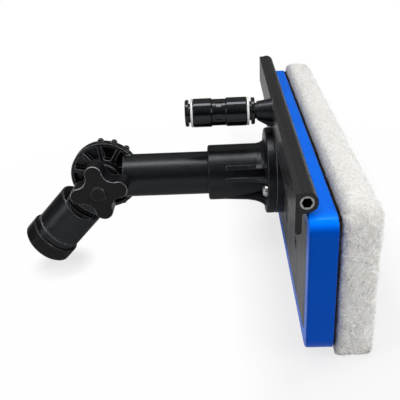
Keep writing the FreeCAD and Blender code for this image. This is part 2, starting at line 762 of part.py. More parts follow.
# Thrust washer and star knob on the bolt.
washer_y = -face - s.stack_gap
washer = cut(
    cylinder(s.washer_radius, s.washer_thick, (px, washer_y, pz), "-Y"),
    cylinder(s.bolt_radius + s.bolt_gap, s.washer_thick + 2, (px, washer_y + 1, pz), "-Y"),
)
node(washer, "knob_washer")
knob_y = washer_y - s.washer_thick - s.stack_gap
lobe_gap = s.knob_lobe.value + s.knob_valley.value
ring_r = s.knob_lobe_ring.value
valley_side = (ring_r + math.sqrt(2 * lobe_gap ** 2 - ring_r ** 2)) / 2
touch = s.knob_lobe.value / lobe_gap
core_r = math.hypot(ring_r + (valley_side - ring_r) * touch, valley_side * touch)
core = doc.addObject("Part::Cylinder", "KnobCore")
core.Radius = core_r
bind(core, Height=s.knob_thick)
put(core, (px, knob_y, pz), ALONG["-Y"])
lobes = []
valleys = []
for count in range(4):
    angle = math.radians(90.0 * count + s.knob_turned.value)
    lobe_at = (px + s.knob_lobe_ring * math.cos(angle), knob_y, pz + s.knob_lobe_ring * math.sin(angle))
    lobes.append(cylinder(s.knob_lobe, s.knob_thick, lobe_at, "-Y"))
    angle += math.pi / 4
    dip = valley_side * math.sqrt(2)
    valley_at = (px + dip * math.cos(angle), knob_y + 1, pz + dip * math.sin(angle))
    valleys.append(cylinder(s.knob_valley, s.knob_thick + 2, valley_at, "-Y"))
star = fuse(cut(core, *valleys), *lobes)
doc.recompute()
knob_front = knob_y - s.knob_thick
rim_edges = []
for number, edge in enumerate(star.Shape.Edges, start=1):
    box_y = edge.BoundBox
    flat = box_y.YMax - box_y.YMin < 0.01
    if flat and abs(box_y.YMin - knob_front.value) < 0.01:
        rim_edges.append((number, s.knob_edge.value, s.knob_edge.value))
soft_star = doc.addObject("Part::Fillet", "KnobEdge")
soft_star.Base = star
soft_star.Edges = rim_edges
insert_y = knob_y - s.stack_gap
knob = cut(
    soft_star,
    cylinder(s.insert_radius + s.tube_gap, s.insert_len + 2 * s.stack_gap, (px, knob_y, pz), "-Y"),
    cylinder(s.cap_radius + s.tube_gap, s.cap_sunk + 1, (px, knob_front + s.cap_sunk, pz), "-Y"),
)
node(knob, "star_knob")
insert = cut(
    cylinder(s.insert_radius, s.insert_len, (px, insert_y, pz), "-Y"),
    cylinder(s.bolt_radius + s.bolt_gap, s.insert_len + 2, (px, insert_y + 1, pz), "-Y"),
)
node(insert, "knob_insert")
cap_y = knob_front + s.cap_sunk
cap = fuse(
    cylinder(s.cap_radius, s.cap_high - 0.6, (px, cap_y, pz), "-Y"),
    cone(s.cap_radius, s.cap_radius - 0.6, 0.6, (px, cap_y - s.cap_high + 0.6, pz), "-Y"),
)
node(cap, "knob_cap")

# Water inlet: a tapered body with a stub into the bar, a gusset below and a plain tail for the coupling.
seal_seat = s.seal_ring + s.seal_radius + s.seal_gap
seal_deep = s.foot_back + 2 * s.seal_radius + 2 * s.seal_gap
inlet = turned([
    (s.foot_back - s.stub_depth, s.inlet_bore),
    (s.foot_back - s.stub_depth, s.stub_radius),
    (seal_deep, s.stub_radius),
    (seal_deep, seal_seat),
    (s.foot_back, seal_seat),
    (s.foot_back, s.inlet_root),
    (s.foot_back + 2.0, s.inlet_root - 0.3),
    (s.inlet_end, s.inlet_neck),
    (s.inlet_end, s.tail_radius),
    (s.tail_end, s.tail_radius),
    (s.tail_end, s.inlet_bore),
])
gusset = inlet.newObject("PartDesign::Pad", "Gusset")
gusset.Profile = outline(inlet, "XZ_Plane", [
    (-s.foot_back, -s.inlet_neck + 1.2),
    (-s.inlet_end, -s.inlet_neck + 1.2),
    (-s.inlet_end, -s.inlet_neck + 0.4),
    (-s.foot_back - 1.6, -s.gusset_drop),
    (-s.foot_back, -s.gusset_drop),
])
bind(gusset, Length=s.gusset_thick)
gusset.Midplane = True
inlet.Tip = gusset
doc.recompute()
put(inlet, (0, 0, s.inlet_height))
node(inlet, "inlet_fitting")
seal_at = (-s.foot_back - s.seal_radius - s.seal_gap, 0, s.inlet_height)
node(ring(s.seal_ring, s.seal_radius, seal_at, "-X"), "inlet_seal")

# Push-fit coupling on the tail: a waisted body, a white ring at each end and two release collets.
start = s.coupling_start
stop = s.coupling_start + s.coupling_len
near_face = start + s.collet_flange_thick + s.collet_travel + 0.1
far_face = stop - s.collet_flange_thick - s.collet_travel - 0.1
body_in = near_face + s.cap_ring_thick
body_out = far_face - s.cap_ring_thick
port = s.tail_radius + s.tail_gap
chamber = start + s.collet_len + s.collet_travel + 2 * s.o_ring + 1.9
chamber_out = stop - s.collet_len - s.collet_travel - 2 * s.o_ring - 1.9
bevel = 0.6
shell = turned([
    (body_in, s.chamber_radius),
    (body_in, s.coupling_radius - bevel),
    (body_in + bevel, s.coupling_radius),
    (body_in + s.half_len - bevel, s.coupling_radius),
    (body_in + s.half_len, s.coupling_radius - bevel),
    (body_in + s.half_len, s.coupling_waist),
    (body_out - s.half_len + 1.2, s.coupling_waist),
    (body_out - s.half_len + 1.2, s.coupling_radius - bevel),
    (body_out - s.half_len + 1.2 + bevel, s.coupling_radius),
    (body_out - bevel, s.coupling_radius),
    (body_out, s.coupling_radius - bevel),
    (body_out, s.chamber_radius),
    (chamber_out, s.chamber_radius),
    (chamber_out, port),
    (s.tail_end + 7.4, port),
    (s.tail_end + 7.4, s.coupling_bore),
    (s.tail_end + 0.4, s.coupling_bore),
    (s.tail_end + 0.4, port),
    (chamber, port),
    (chamber, s.chamber_radius),
])
windows_around = []
window_x = -(body_in + body_out + 1.2) / 2 - s.window_side / 2
for count in range(6):
    swing = Turn(V(1, 0, 0), 60.0 * count + 35.0)
    low = swing.multVec(V(0, -s.window_side.value / 2, s.coupling_waist.value - 1.1))
    window = doc.addObject("Part::Box", "Window")
    bind(window, Length=s.window_side, Width=s.window_side, Height=2.0)
    put(window, (window_x, low.y, low.z), swing)
    windows_around.append(window)
coupling = cut(shell, *windows_around)
axis_place = FreeCAD.Placement(V(0, 0, s.inlet_height.value), Turn())
node(coupling, "connector_body").Placement = axis_place

guide = s.collet_stem + s.slide_gap
spigot = s.chamber_radius - s.tube_gap
rim = s.coupling_radius - 0.1
outer_cap = turned([
    (body_out - s.cap_spigot, guide),
    (body_out - s.cap_spigot, spigot),
    (body_out, spigot),
    (body_out, rim),
    (far_face - 0.4, rim),
    (far_face, rim - 0.4),
    (far_face, guide),
])
node(outer_cap, "outer_cap").Placement = axis_place
inner_cap = turned([
    (body_in + s.cap_spigot, guide),
    (body_in + s.cap_spigot, spigot),
    (body_in, spigot),
    (body_in, rim),
    (near_face + 0.4, rim),
    (near_face, rim - 0.4),
    (near_face, guide),
])
node(inner_cap, "inner_cap").Placement = axis_place
outer_collet = turned([
    (stop - s.collet_len, s.collet_bore),
    (stop - s.collet_len, s.collet_stem),
    (stop - s.collet_flange_thick, s.collet_stem),
    (stop - s.collet_flange_thick, s.collet_flange),
    (stop - 0.4, s.collet_flange),
    (stop, s.collet_flange - 0.4),
    (stop, s.collet_bore),
])
node(outer_collet, "outer_collet").Placement = axis_place
inner_collet = turned([
    (start + s.collet_len, s.collet_bore),
    (start + s.collet_len, s.collet_stem),
    (start + s.collet_flange_thick, s.collet_stem),
    (start + s.collet_flange_thick, s.collet_flange),
    (start + 0.4, s.collet_flange),
    (start, s.collet_flange - 0.4),
    (start, s.collet_bore),
])
node(inner_collet, "inner_collet").Placement = axis_place
seal_mid = (s.chamber_radius + s.tail_radius) / 2
o_rings = [
    ring(seal_mid, s.o_ring, (-(chamber - s.o_ring - 0.15), 0, s.inlet_height), "-X"),
    ring(seal_mid, s.o_ring, (-(chamber_out + s.o_ring + 0.15), 0, s.inlet_height), "-X"),
]
node(group(*o_rings), "connector_o_rings")

doc.recompute()
for item in doc.Objects:
    if "Invalid" in item.State or "Error" in item.State:
        raise RuntimeError("%s failed: %s" % (item.Name, item.State))


def lowest_pad(lean):
    """Lowest point of the pad's rounded front edge once the tool leans by an angle."""
    edge = s.pad_low_edge.value
    x = pad_back.value + s.pad_thick.value - edge
    z = -s.pad_drop.value - s.pad_high.value / 2 + edge
    return -x * math.sin(lean) + z * math.cos(lean) - edge


def lowest_collar(lean):
    """Lowest point of the collar's two mouth circles once the tool leans by an angle."""
    slope = math.radians(s.bend.value)
    end = collar_end.value
    edge = s.collar_edge.value
    circles = ((end, s.collar_radius.value - edge), (end - edge, s.collar_radius.value))
    heights = []
    for along, radius in circles:
        x = px.value - along * math.cos(slope)
        z = pz.value - along * math.sin(slope)
        heights.append(-x * math.sin(lean) + z * math.cos(lean) - radius * math.cos(slope - lean))
    return min(heights)


# The lean at which the pad's lower edge and the collar stand on one floor.
low_lean = math.radians(-15.0)
high_lean = math.radians(25.0)
for step_count in range(60):
    lean = (low_lean + high_lean) / 2
    if lowest_collar(lean) < lowest_pad(lean):
        low_lean = lean
    else:
        high_lean = lean
upright = FreeCAD.Placement(V(), Turn(V(0, 1, 0), math.degrees(lean)))
whole = FreeCAD.BoundBox()
for item in nodes:
    whole.add(item.Shape.transformed(upright.toMatrix(), True).optimalBoundingBox(False))
shift = V(-(whole.XMin + whole.XMax) / 2, -(whole.YMin + whole.YMax) / 2, -whole.ZMin)
stand = FreeCAD.Placement(shift, upright.Rotation)
for item in nodes:
    local = item.Placement
    for axis in "xyz":
        item.setExpression("Placement.Base." + axis, None)
    item.Placement = stand.multiply(local)
doc.recompute()

for item in doc.Objects:
    if "Invalid" in item.State or "Error" in item.State:
        raise RuntimeError("%s failed: %s" % (item.Name, item.State))
for item in nodes:
    if item.Shape.isNull() or not item.Shape.isValid():
        raise RuntimeError("%s has a bad shape" % item.Label)
for item in nodes:
    item.Shape.exportStep("parts/%s.step" % item.Label)
    print("%-20s solids %d volume %.1f" % (item.Label, len(item.Shape.Solids), item.Shape.Volume))


def tell(label, point):
    spot = stand.multVec(point)
    print("%s: %.5f %.5f %.5f" % (label, spot.x, spot.y, spot.z))


print("lean %.5f degrees, shift %.5f %.5f %.5f" % (math.degrees(lean), shift.x, shift.y, shift.z))
tell("pivot", V(px.value, 0, pz.value))
tell("coupling axis", V(-start.value, 0, s.inlet_height.value))
tell("hose port", V(-stop.value, 0, s.inlet_height.value))
down = V(-math.cos(math.radians(s.bend.value)), 0, -math.sin(math.radians(s.bend.value)))
tell("pole mouth", V(px.value, 0, pz.value) + down * s.lower_end.value)
tell("pole bore floor", V(px.value, 0, pz.value) + down * s.lower_floor.value)
tell("pad face", V(pad_back.value + s.pad_thick.value, 0, -s.pad_drop.value))
for label, way in (("tool X", V(1, 0, 0)), ("tool Z", V(0, 0, 1)), ("pole out", down)):
    out = stand.Rotation.multVec(way)
    print("%s: %.6f %.6f %.6f" % (label, out.x, out.y, out.z))
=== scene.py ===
import json
import math
import bpy
from mathutils import Matrix, Vector

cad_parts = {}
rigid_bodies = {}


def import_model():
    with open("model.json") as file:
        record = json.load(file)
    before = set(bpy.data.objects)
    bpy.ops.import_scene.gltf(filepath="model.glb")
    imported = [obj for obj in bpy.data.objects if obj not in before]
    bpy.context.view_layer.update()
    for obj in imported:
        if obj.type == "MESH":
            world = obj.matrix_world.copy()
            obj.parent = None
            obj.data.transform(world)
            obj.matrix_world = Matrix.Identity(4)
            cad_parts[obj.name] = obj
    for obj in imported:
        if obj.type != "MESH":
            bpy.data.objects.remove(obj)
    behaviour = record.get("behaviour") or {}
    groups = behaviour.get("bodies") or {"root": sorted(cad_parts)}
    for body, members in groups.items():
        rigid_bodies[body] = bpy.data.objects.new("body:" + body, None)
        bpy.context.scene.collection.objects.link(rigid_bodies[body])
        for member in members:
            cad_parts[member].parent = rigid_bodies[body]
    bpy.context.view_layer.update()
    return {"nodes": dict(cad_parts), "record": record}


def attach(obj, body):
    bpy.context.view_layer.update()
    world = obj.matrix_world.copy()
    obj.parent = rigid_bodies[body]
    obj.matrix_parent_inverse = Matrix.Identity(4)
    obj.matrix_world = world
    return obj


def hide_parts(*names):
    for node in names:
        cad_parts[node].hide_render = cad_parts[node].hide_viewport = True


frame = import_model()
nodes = frame["nodes"]

# The tool's own frame: X towards the pad's face, Y along the board, Z up, origin mid-board on its back face.
MM = 0.001
PAD_BACK = 15.0 * MM
PAD_FRONT = 35.4 * MM
PAD_LEN = 254.0 * MM
PAD_HIGH = 86.5 * MM
PAD_MID = -0.25 * MM
BOARD_THICK = 13.5 * MM
BOARD_END = 131.0 * MM
BAR_END = 126.0 * MM

face_mount = [m for m in frame["record"]["mounts"] if m["name"] == "working_face"][0]
tool_x = Vector(face_mount["axis"])
lean = math.atan2(-tool_x.z, tool_x.x)
tool = Matrix.Rotation(lean, 4, "Y")
tool.translation = Vector(face_mount["pos_m"]) - tool.to_3x3() @ Vector((PAD_FRONT, 0.0, PAD_MID))
tool_origin = tool.translation.copy()


# Helpers for modelling
def clear_selection():
    if bpy.context.object and bpy.context.object.mode != "OBJECT":
        bpy.ops.object.mode_set(mode="OBJECT")
    bpy.ops.object.select_all(action="DESELECT")


def make_active(piece):
    clear_selection()
    piece.select_set(True)
    bpy.context.view_layer.objects.active = piece


def bevel_edges(piece, width, segments, test):
    """Round the edges whose two end points pass a test."""
    make_active(piece)
    bpy.ops.object.mode_set(mode="EDIT")
    bpy.ops.mesh.select_all(action="DESELECT")
    bpy.ops.mesh.select_mode(type="EDGE")
    bpy.ops.object.mode_set(mode="OBJECT")
    verts = piece.data.vertices
    for edge in piece.data.edges:
        edge.select = test(*[verts[i].co for i in edge.vertices])
    bpy.ops.object.mode_set(mode="EDIT")
    bpy.ops.mesh.bevel(offset=width, segments=segments, profile=0.5, affect="EDGES")
    bpy.ops.object.mode_set(mode="OBJECT")


def apply_modifiers(piece):
    make_active(piece)
    for name in [m.name for m in piece.modifiers]:
        bpy.ops.object.modifier_apply(modifier=name)


def settle(piece):
    """Move a piece from the tool's frame into place and leave its object at the origin."""
    piece.matrix_world = tool @ piece.matrix_world
    make_active(piece)
    bpy.ops.object.transform_apply(location=True, rotation=True, scale=True)


def dress(piece, finish):
    """Give a piece one finish, in place of any that it has."""
    piece.data.materials.clear()
    piece.data.materials.append(finish)


def slab(name, low, high):
    """A box between two corners in the tool's frame, to be shaped further."""
    clear_selection()
    middle = (Vector(low) + Vector(high)) / 2
    bpy.ops.mesh.primitive_cube_add(size=1.0, location=middle)
    piece = bpy.context.object
    piece.name = name
    piece.data.name = name
    piece.scale = Vector(high) - Vector(low)
    bpy.ops.object.transform_apply(location=True, rotation=True, scale=True)
    return piece


def cloudy(piece, name, size, strength):
    """Push a surface in and out with a soft noise of a given feature size."""
    texture = bpy.data.textures.new(name, "CLOUDS")
    texture.noise_scale = size
    texture.noise_depth = 2
    modifier = piece.modifiers.new(name, "DISPLACE")
    modifier.texture = texture
    modifier.texture_coords = "LOCAL"
    modifier.mid_level = 0.5
    modifier.strength = strength


# Helpers for node trees
def group_tree(name, inputs, outputs):
    """A shader node group with named sockets; colours, masks, values and normals only."""
    tree = bpy.data.node_groups.new(name, "ShaderNodeTree")
    for label, kind, value in inputs:
        socket = tree.interface.new_socket(name=label, in_out="INPUT", socket_type=kind)
        if value is not None:
            socket.default_value = value
    for label, kind in outputs:
        tree.interface.new_socket(name=label, in_out="OUTPUT", socket_type=kind)
    entry = tree.nodes.new("NodeGroupInput")
    leave = tree.nodes.new("NodeGroupOutput")
    return tree, entry, leave


def add(tree, kind, **values):
    """Add a node; keys that name an input set it, the rest set properties."""
    item = tree.nodes.new(kind)
    for key, value in values.items():
        label = key.replace("_", " ")
        if label in item.inputs:
            item.inputs[label].default_value = value
        else:
            setattr(item, key, value)
    return item


def feed(tree, value, socket):
    """Link a node's output to a socket, or set a constant there."""
    if isinstance(value, bpy.types.NodeSocket):
        tree.links.new(value, socket)
    else:
        socket.default_value = value


def math_node(tree, operation, first, second=0.0):
    item = tree.nodes.new("ShaderNodeMath")
    item.operation = operation
    feed(tree, first, item.inputs[0])
    feed(tree, second, item.inputs[1])
    return item.outputs[0]


def vector_value(tree, operation, first, second=(0.0, 0.0, 0.0)):
    """A dot product, length or distance, as a plain value."""
    item = tree.nodes.new("ShaderNodeVectorMath")
    item.operation = operation
    feed(tree, first, item.inputs[0])
    feed(tree, second, item.inputs[1])
    return item.outputs["Value"]


def split_axes(tree, vector):
    item = tree.nodes.new("ShaderNodeSeparateXYZ")
    tree.links.new(vector, item.inputs[0])
    return item.outputs


def object_place(tree):
    return tree.nodes.new("ShaderNodeTexCoord").outputs["Object"]


def ramp(tree, source, low, high, start=0.0, end=1.0):
    item = tree.nodes.new("ShaderNodeMapRange")
    item.inputs["From Min"].default_value = low
    item.inputs["From Max"].default_value = high
    item.inputs["To Min"].default_value = start
    item.inputs["To Max"].default_value = end
    tree.links.new(source, item.inputs["Value"])
    return item.outputs[0]


def noise(tree, vector, scale, detail=3.0, roughness=0.55):
    item = add(tree, "ShaderNodeTexNoise", Scale=scale, Detail=detail, Roughness=roughness)
    tree.links.new(vector, item.inputs["Vector"])
    return item.outputs["Fac"]


def mix_colours(tree, factor, first, second):
    item = tree.nodes.new("ShaderNodeMix")
    item.data_type = "RGBA"
    feed(tree, factor, item.inputs["Factor"])
    feed(tree, first, item.inputs["A"])
    feed(tree, second, item.inputs["B"])
    return item.outputs["Result"]


def tone(red, green, blue):
    return (red, green, blue, 1.0)


# Fine mould texture: a height for bump, a slow tone change and a fine gloss change.
grain_tree, grain_in, grain_out = group_tree(
    "Mould Grain",
    [("Vector", "NodeSocketVector", None), ("Grain", "NodeSocketFloat", 2600.0), ("Drift", "NodeSocketFloat", 40.0)],
    [("Height", "NodeSocketFloat"), ("Tone", "NodeSocketFloat"), ("Gloss", "NodeSocketFloat")],
)
grain_noise = add(grain_tree, "ShaderNodeTexNoise", Detail=2.0, Roughness=0.6)
drift_noise = add(grain_tree, "ShaderNodeTexNoise", Detail=4.0, Roughness=0.55)
gloss_noise = add(grain_tree, "ShaderNodeTexNoise", Scale=240.0, Detail=5.0, Roughness=0.6)
for item in (grain_noise, drift_noise, gloss_noise):
    grain_tree.links.new(grain_in.outputs["Vector"], item.inputs["Vector"])
grain_tree.links.new(grain_in.outputs["Grain"], grain_noise.inputs["Scale"])
grain_tree.links.new(grain_in.outputs["Drift"], drift_noise.inputs["Scale"])
grain_tree.links.new(grain_noise.outputs["Fac"], grain_out.inputs["Height"])
grain_tree.links.new(drift_noise.outputs["Fac"], grain_out.inputs["Tone"])
grain_tree.links.new(gloss_noise.outputs["Fac"], grain_out.inputs["Gloss"])

# Brushed metal: long thin streaks along one direction, as a height and a tone.
brush_tree, brush_in, brush_out = group_tree(
    "Brush Lines",
    [("Vector", "NodeSocketVector", None), ("Fineness", "NodeSocketFloat", 900.0)],
    [("Height", "NodeSocketFloat"), ("Streak", "NodeSocketFloat")],
)
fine_lines = add(brush_tree, "ShaderNodeTexNoise", Detail=3.0, Roughness=0.65)
broad_lines = add(brush_tree, "ShaderNodeTexNoise", Scale=110.0, Detail=4.0, Roughness=0.6)
for item in (fine_lines, broad_lines):
    brush_tree.links.new(brush_in.outputs["Vector"], item.inputs["Vector"])
brush_tree.links.new(brush_in.outputs["Fineness"], fine_lines.inputs["Scale"])
brush_tree.links.new(fine_lines.outputs["Fac"], brush_out.inputs["Height"])
brush_tree.links.new(broad_lines.outputs["Fac"], brush_out.inputs["Streak"])

# Matted fibre: a clumped tone, and a fine height.
felt_tree, felt_in, felt_out = group_tree(
    "Matted Fibre",
    [("Vector", "NodeSocketVector", None), ("Clump", "NodeSocketFloat", 420.0)],
    [("Height", "NodeSocketFloat"), ("Tone", "NodeSocketFloat")],
)
clump_noise = add(felt_tree, "ShaderNodeTexNoise", Detail=4.0, Roughness=0.7, Distortion=1.2)
strand_noise = add(felt_tree, "ShaderNodeTexNoise", Scale=1500.0, Detail=3.0, Roughness=0.7, Distortion=2.5)
for item in (clump_noise, strand_noise):
    felt_tree.links.new(felt_in.outputs["Vector"], item.inputs["Vector"])
felt_tree.links.new(felt_in.outputs["Clump"], clump_noise.inputs["Scale"])
felt_tree.links.new(strand_noise.outputs["Fac"], felt_out.inputs["Height"])
felt_tree.links.new(clump_noise.outputs["Fac"], felt_out.inputs["Tone"])

# Painted edge highlights: a rounded normal at the corners, and a mask that is 1 along them, where a pale tone is
# painted as a highlight.
edge_tree, edge_in, edge_out = group_tree(
    "Painted Edge Highlights",
    [("Vector", "NodeSocketVector", None), ("Radius", "NodeSocketFloat", 0.0004)],
    [("Edge", "NodeSocketFloat"), ("Normal", "NodeSocketVector")],
)
soft_corner = edge_tree.nodes.new("ShaderNodeBevel")
soft_corner.samples = 6
edge_tree.links.new(edge_in.outputs["Radius"], soft_corner.inputs["Radius"])
flat_normal = edge_tree.nodes.new("ShaderNodeNewGeometry").outputs["Normal"]
corner_turn = vector_value(edge_tree, "DOT_PRODUCT", soft_corner.outputs["Normal"], flat_normal)
highlight_breaks = noise(edge_tree, edge_in.outputs["Vector"], 700.0, 4.0, 0.6)
corner_highlight = math_node(
    edge_tree, "MULTIPLY", ramp(edge_tree, corner_turn, 0.985, 0.86), ramp(edge_tree, highlight_breaks, 0.3, 0.6, 0.35, 1.0)
)
edge_tree.links.new(corner_highlight, edge_out.inputs["Edge"])
edge_tree.links.new(soft_corner.outputs["Normal"], edge_out.inputs["Normal"])


# Helpers for finishes
def finish_tree(name, **sockets):
    """A material with a Principled shader, and its Object coordinates."""
    material = bpy.data.materials.new(name)
    material.use_nodes = True
    tree = material.node_tree
    shader = tree.nodes["Principled BSDF"]
    for key, value in sockets.items():
        shader.inputs[key.replace("_", " ")].default_value = value
    return material, tree, shader, object_place(tree)


def use_group(tree, group, vector, **values):
    item = tree.nodes.new("ShaderNodeGroup")
    item.node_tree = group
    tree.links.new(vector, item.inputs["Vector"])
    for key, value in values.items():
        item.inputs[key].default_value = value
    return item


def bump(tree, shader, height, strength, distance, normal=None):
    item = add(tree, "ShaderNodeBump", Strength=strength, Distance=distance)
    tree.links.new(height, item.inputs["Height"])
    if normal:
        tree.links.new(normal, item.inputs["Normal"])
    tree.links.new(item.outputs["Normal"], shader.inputs["Normal"])


def moulded(name, tones, edge_highlight, rough_low, rough_high, grain, depth, corner=0.0004, **sockets):
    """Moulded plastic: two tones that drift slowly, a painted highlight along the corners, a fine grain and an uneven
    gloss.
    """
    dark, light = tones
    material, tree, shader, place = finish_tree(name, **sockets)
    grained = use_group(tree, grain_tree, place, Grain=grain)
    edge_highlights = use_group(tree, edge_tree, place, Radius=corner)
    blend = ramp(tree, grained.outputs["Tone"], 0.35, 0.65)
    surface = mix_colours(tree, blend, tone(*dark), tone(*light))
    # Painted highlight: a pale tone laid along the corners.
    tree.links.new(mix_colours(tree, edge_highlights.outputs["Edge"], surface, tone(*edge_highlight)), shader.inputs["Base Color"])
    tree.links.new(ramp(tree, grained.outputs["Gloss"], 0.3, 0.7, rough_low, rough_high), shader.inputs["Roughness"])
    bump(tree, shader, grained.outputs["Height"], 0.35, depth, edge_highlights.outputs["Normal"])
    return material


def brushed(name, tones, rough_low, rough_high, stretch, fineness=900.0, **sockets):
    """Brushed metal: streaks drawn out along the axes that have a small stretch."""
    dark, light = tones
    material, tree, shader, place = finish_tree(name, **sockets)
    turn = add(tree, "ShaderNodeMapping", Rotation=(0.0, -lean, 0.0), Scale=stretch)
    tree.links.new(place, turn.inputs["Vector"])
    lines = use_group(tree, brush_tree, turn.outputs["Vector"], Fineness=fineness)
    blend = ramp(tree, lines.outputs["Streak"], 0.3, 0.7)
    tree.links.new(mix_colours(tree, blend, tone(*dark), tone(*light)), shader.inputs["Base Color"])
    tree.links.new(ramp(tree, lines.outputs["Height"], 0.3, 0.7, rough_low, rough_high), shader.inputs["Roughness"])
    bump(tree, shader, lines.outputs["Height"], 0.3, 0.02 * MM)
    return material


def colour_over(material, mask, colour):
    """Lay a colour over a finish where a mask is 1."""
    tree = material.node_tree
    base = tree.nodes["Principled BSDF"].inputs["Base Color"]
    tree.links.new(mix_colours(tree, mask, base.links[0].from_socket, tone(*colour)), base)


def painted_rim_highlights(material, edge_highlight, low, high, blend=0.12):
    """Paint a pale highlight on a finish where a rounded rim turns from the front face (normal along -Y) to the sides.
    """
    tree = material.node_tree
    normal = tree.nodes.new("ShaderNodeNewGeometry").outputs["Normal"]
    front = math_node(tree, "MULTIPLY", split_axes(tree, normal)["Y"], -1.0)
    rim = math_node(tree, "MULTIPLY", ramp(tree, front, low, low + blend), ramp(tree, front, high, high - blend))
    patches = noise(tree, object_place(tree), 160.0, 3.0, 0.6)
    broken = ramp(tree, patches, 0.40, 0.58, 0.15, 1.0)
    colour_over(material, math_node(tree, "MULTIPLY", rim, broken), edge_highlight)


def painted_shade_along(material, start, end, shade):
    """Paint shade over a finish with the distance from mid-board along Y, from one distance to another."""
    tree = material.node_tree
    from_middle = math_node(tree, "ABSOLUTE", split_axes(tree, object_place(tree))["Y"])
    colour_over(material, ramp(tree, from_middle, start, end), shade)


GAP_SHADE = (0.020, 0.015, 0.010)
FOOT_SOIL = (0.20, 0.165, 0.12)


def fibre(name, tones, board_shade, near, far, soil=0.0, **sockets):
    """Fibre with painted shade near the board, most at its two ends, a painted shadow line in the gap at the board, and
    soiled at its foot.
    """
    pale, shade = tones
    material, tree, shader, place = finish_tree(name, **sockets)
    felt = use_group(tree, felt_tree, place)
    surface = mix_colours(tree, ramp(tree, felt.outputs["Tone"], 0.32, 0.62), tone(*shade), tone(*pale))
    axes = split_axes(tree, place)

    def ragged(line, reach):
        return math_node(tree, "ADD", line, ramp(tree, felt.outputs["Tone"], 0.3, 0.7, -reach, reach))

    across = vector_value(tree, "DOT_PRODUCT", place, tool_x)
    back_line = ragged(math_node(tree, "SUBTRACT", across, tool_origin.dot(tool_x)), 1.4 * MM)
    from_middle = math_node(tree, "ABSOLUTE", axes["Y"])
    at_end = ramp(tree, from_middle, PAD_LEN / 2 - 8.0 * MM, PAD_LEN / 2 - 1.0 * MM, 0.12, 1.0)
    # Painted shade: the fibre darker near the board, most at the pad's two ends.
    depth = math_node(tree, "MULTIPLY", ramp(tree, back_line, near, far, 0.85, 0.0), at_end)
    surface = mix_colours(tree, depth, surface, tone(*board_shade))
    # Painted shadow: a dark line in the gap at the board.
    root = ramp(tree, back_line, PAD_BACK + 0.2 * MM, PAD_BACK + 0.8 * MM, 0.35, 0.0)
    surface = mix_colours(tree, math_node(tree, "MULTIPLY", root, at_end), surface, tone(*GAP_SHADE))
    foot = ramp(tree, ragged(axes["Z"], 1.5 * MM), 0.5 * MM, 4.5 * MM, soil, 0.0)
    tree.links.new(mix_colours(tree, foot, surface, tone(*FOOT_SOIL)), shader.inputs["Base Color"])
    bump(tree, shader, felt.outputs["Height"], 0.35, 0.3 * MM)
    return material


# Finishes: each has two tones that mix, and then its tone for the painted edge highlight or its range of roughness.
COOL_SHEEN = (0.88, 0.93, 1.0, 1.0)
DEEP_BLACK = ((0.0011, 0.0012, 0.0018), (0.0020, 0.0022, 0.0031))
SOFT_BLACK = ((0.0045, 0.0046, 0.0055), (0.0066, 0.0068, 0.0080))
ALL_WAYS = (1.0, 1.0, 1.0)
ALONG_Y = (1.0, 0.05, 1.0)
FIBRE_GLOW = (1.0, 0.98, 0.94)

board_blue = moulded(
    "board_blue", ((0.000, 0.152, 0.890), (0.000, 0.168, 0.950)), (0.004, 0.190, 0.980), 0.18, 0.26, 1900.0,
    0.03 * MM, corner=0.8 * MM, Specular_IOR_Level=0.45, Specular_Tint=(0.03, 0.36, 1.0, 1.0),
)
# Painted shade: the board's end faces darker than its top.
painted_shade_along(board_blue, BOARD_END - 2.6 * MM, BOARD_END - 0.3 * MM, (0.000, 0.050, 0.360))
black_moulded = moulded(
    "black_moulded", DEEP_BLACK, (0.300, 0.300, 0.305), 0.27, 0.36, 1400.0,
    0.12 * MM, corner=0.6 * MM, Specular_IOR_Level=0.44, Specular_Tint=COOL_SHEEN,
)
black_knob = moulded(
    "black_knob", SOFT_BLACK, (0.220, 0.220, 0.225), 0.20, 0.30, 1500.0,
    0.08 * MM, corner=0.8 * MM, Specular_IOR_Level=0.18,
)
# Painted highlight: pale rims along the knob's lobes.
painted_rim_highlights(black_knob, (0.30, 0.30, 0.31), 0.36, 0.82)
black_collar = moulded(
    "black_collar", SOFT_BLACK, (0.160, 0.160, 0.165), 0.24, 0.34, 1500.0,
    0.10 * MM, corner=0.6 * MM, Specular_IOR_Level=0.18,
)
black_socket = moulded(
    "black_socket", DEEP_BLACK, (0.070, 0.070, 0.073), 0.28, 0.38, 1400.0,
    0.12 * MM, corner=0.5 * MM, Specular_IOR_Level=0.44, Specular_Tint=COOL_SHEEN,
)
coupling_black = moulded(
    "coupling_black", ((0.0006, 0.0007, 0.0009), (0.0012, 0.0013, 0.0016)), (0.020, 0.020, 0.021), 0.10, 0.18, 1500.0,
    0.015 * MM, Specular_IOR_Level=0.54, Specular_Tint=COOL_SHEEN,
)
coupling_white = moulded(
    "coupling_white", ((0.62, 0.62, 0.60), (0.72, 0.72, 0.70)), (0.78, 0.78, 0.76), 0.22, 0.32, 1500.0, 0.02 * MM
)
plate_dark = brushed(
    "plate_dark", ((0.105, 0.105, 0.107), (0.25, 0.25, 0.253)), 0.34, 0.50, (1.0, 1.0, 0.04), Metallic=0.85
)
bar_anodised = brushed(
    "bar_anodised", ((0.021, 0.021, 0.022), (0.037, 0.037, 0.039)), 0.24, 0.34, (1.0, 0.02, 1.0), Metallic=0.35,
    Specular_IOR_Level=0.38,
)
